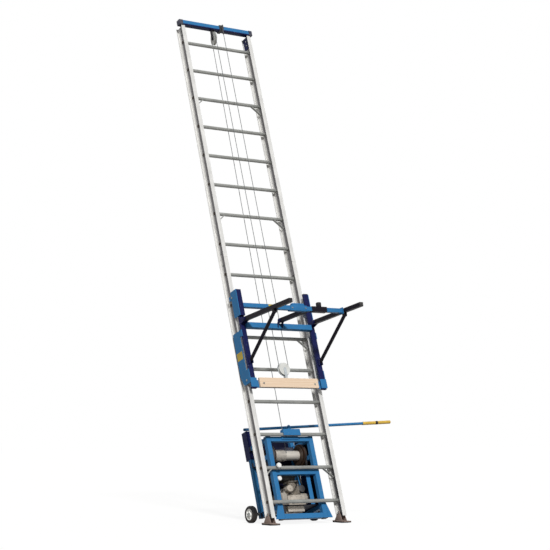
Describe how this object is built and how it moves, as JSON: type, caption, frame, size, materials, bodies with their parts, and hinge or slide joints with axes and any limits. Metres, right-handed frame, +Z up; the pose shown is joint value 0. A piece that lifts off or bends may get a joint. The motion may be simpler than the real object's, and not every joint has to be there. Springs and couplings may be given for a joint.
{
  "type": "ladder platform hoist",
  "caption": "Leaning ladder hoist: a carriage with a folding fork platform runs up the rails on a wire rope from an engine-driven drum at the foot, worked by a long side lever.",
  "frame": {"origin": "middle between the peg holes of the two feet, on the ground", "axes": "+Z up, -Y towards the load platform, +X towards the grip of the control lever"},
  "size_m": [1.8444, 1.9219, 4.7626],
  "materials": {
    "rail_aluminium": "mill finish extrusion",
    "rung_aluminium": "ribbed extrusion",
    "zinc_steel": "zinc plated",
    "wire_rope": "galvanised strand",
    "blue_paint": "semi-gloss enamel",
    "navy_paint": "semi-gloss enamel",
    "black_paint": "semi-gloss enamel",
    "brown_iron": "oily cast iron",
    "cast_iron": "painted casting",
    "cast_aluminium": "sand casting",
    "black_plastic": "moulded",
    "white_nylon": "turned nylon",
    "grey_plastic": "moulded",
    "black_rubber": "moulded",
    "yellow_vinyl": "dipped vinyl",
    "pine_board": "planed board",
    "wheel_tyre": "solid tyre on a white hub",
    "foot_steel": "steel shoe with a rubber pad"
  },
  "bodies": {
    "ladder": {"lower_rails": "rail_aluminium", "upper_rails": "rail_aluminium", "rungs": "rung_aluminium", "knee_braces": "rung_aluminium", "rail_splices": "rail_aluminium", "ladder_bolts": "zinc_steel", "head_crossbar": "blue_paint", "crossbar_caps": "black_plastic", "head_brackets": "navy_paint", "head_block": "blue_paint", "cable_anchor": "zinc_steel", "cable_return": "wire_rope", "cable_falls": "wire_rope", "frame_posts": "blue_paint", "frame_rails": "blue_paint", "rung_hook": "blue_paint", "unit_panels": "navy_paint", "engine_crankcase": "cast_aluminium", "engine_cylinder": "cast_aluminium", "blower_housing": "grey_plastic", "fuel_tank": "black_plastic", "muffler": "zinc_steel", "air_cleaner": "grey_plastic", "reduction_gearbox": "cast_aluminium", "drive_belt": "black_rubber", "drum_bearings": "cast_iron", "brake_band": "zinc_steel", "lever_bracket": "blue_paint", "spring_housing": "navy_paint", "return_spring": "zinc_steel", "wheel_axle": "zinc_steel"},
    "carriage": {"carriage_posts": "navy_paint", "carriage_tubes": "blue_paint", "roller_plates": "blue_paint", "carriage_bolts": "zinc_steel", "glide_shoes": "white_nylon", "bumper_board": "pine_board", "sheave_bracket": "navy_paint", "arm_lugs": "navy_paint", "brace_seats": "navy_paint", "cable_bight": "wire_rope"},
    "upper_rollers": {"upper_rollers": "white_nylon"},
    "lower_rollers": {"lower_rollers": "white_nylon"},
    "carriage_sheave": {"carriage_sheave": "white_nylon"},
    "platform": {"side_arms": "black_paint", "center_arm": "black_paint", "platform_tube": "blue_paint", "load_cleat": "black_plastic"},
    "braces": {"braces": "black_paint"},
    "lever": {"lever_tube": "blue_paint", "lever_grip": "yellow_vinyl"},
    "drum": {"drum": "zinc_steel", "drum_pulley": "brown_iron", "drum_cable": "wire_rope"},
    "engine_pulley": {"engine_pulley": "cast_iron"},
    "head_sheave": {"head_sheave": "white_nylon"},
    "left_wheel": {"left_wheel": "wheel_tyre"},
    "right_wheel": {"right_wheel": "wheel_tyre"},
    "left_foot": {"left_foot": "foot_steel"},
    "right_foot": {"right_foot": "foot_steel"}
  },
  "joints": [
    {"name": "carriage_travel", "type": "slide", "parent": "ladder", "child": "carriage", "axis": [0, 0.3206, 0.9472], "range_m": [-0.95, 2.5], "deforming": ["cable_falls", "cable_return"]},
    {"name": "upper_roller_spin", "type": "hinge", "parent": "carriage", "child": "upper_rollers", "pos_m": [0, 0.65293, 1.98839], "axis": [1, 0, 0], "continuous": true},
    {"name": "lower_roller_spin", "type": "hinge", "parent": "carriage", "child": "lower_rollers", "pos_m": [0, 0.40125, 1.24483], "axis": [1, 0, 0], "continuous": true},
    {"name": "carriage_sheave_spin", "type": "hinge", "parent": "carriage", "child": "carriage_sheave", "pos_m": [0, 0.41943, 1.35375], "axis": [0, -0.9472, 0.3206], "continuous": true},
    {"name": "head_sheave_spin", "type": "hinge", "parent": "ladder", "child": "head_sheave", "pos_m": [-0.03513, 1.58316, 4.61374], "axis": [0.9677, -0.2388, 0.0808], "continuous": true},
    {"name": "drum_spin", "type": "hinge", "parent": "ladder", "child": "drum", "pos_m": [0, 0.45413, 0.58294], "axis": [1, 0, 0], "continuous": true},
    {"name": "engine_pulley_spin", "type": "hinge", "parent": "ladder", "child": "engine_pulley", "pos_m": [0, 0.32525, 0.20216], "axis": [1, 0, 0], "continuous": true},
    {"name": "platform_fold", "type": "hinge", "parent": "carriage", "child": "platform", "pos_m": [0, 0.46763, 1.79246], "axis": [-1, 0, 0], "range_deg": [0, 96]},
    {"name": "brace_fold", "type": "hinge", "parent": "platform", "child": "braces", "pos_m": [0, 0.01533, 1.82781], "axis": [-1, 0, 0], "range_deg": [-38, 0]},
    {"name": "lever_pull", "type": "hinge", "parent": "ladder", "child": "lever", "pos_m": [0.23, 0.69785, 0.83511], "axis": [0, -0.9472, 0.3206], "range_deg": [-9, 0], "stiffness_Nm_per_rad": 100, "springref_deg": 7.45, "deforming": ["return_spring"]},
    {"name": "left_wheel_spin", "type": "hinge", "parent": "ladder", "child": "left_wheel", "pos_m": [0, 0.44056, 0.075], "axis": [1, 0, 0], "continuous": true},
    {"name": "right_wheel_spin", "type": "hinge", "parent": "ladder", "child": "right_wheel", "pos_m": [0, 0.44056, 0.075], "axis": [1, 0, 0], "continuous": true},
    {"name": "left_foot_swivel", "type": "hinge", "parent": "ladder", "child": "left_foot", "pos_m": [0, 0.085, 0.085], "axis": [1, 0, 0], "range_deg": [-12, 12]},
    {"name": "right_foot_swivel", "type": "hinge", "parent": "ladder", "child": "right_foot", "pos_m": [0, 0.085, 0.085], "axis": [1, 0, 0], "range_deg": [-12, 12]}
  ],
  "couplings": [
    {"joint": "upper_roller_spin", "follows": "carriage_travel", "rad_per_m": -45.455},
    {"joint": "lower_roller_spin", "follows": "carriage_travel", "rad_per_m": -45.455},
    {"joint": "carriage_sheave_spin", "follows": "carriage_travel", "rad_per_m": -20},
    {"joint": "head_sheave_spin", "follows": "carriage_travel", "rad_per_m": -33.898},
    {"joint": "drum_spin", "follows": "carriage_travel", "rad_per_m": 41.054},
    {"joint": "engine_pulley_spin", "follows": "carriage_travel", "rad_per_m": 128.63},
    {"joint": "brace_fold", "follows": "platform_fold", "ratio": -0.37}
  ]
}
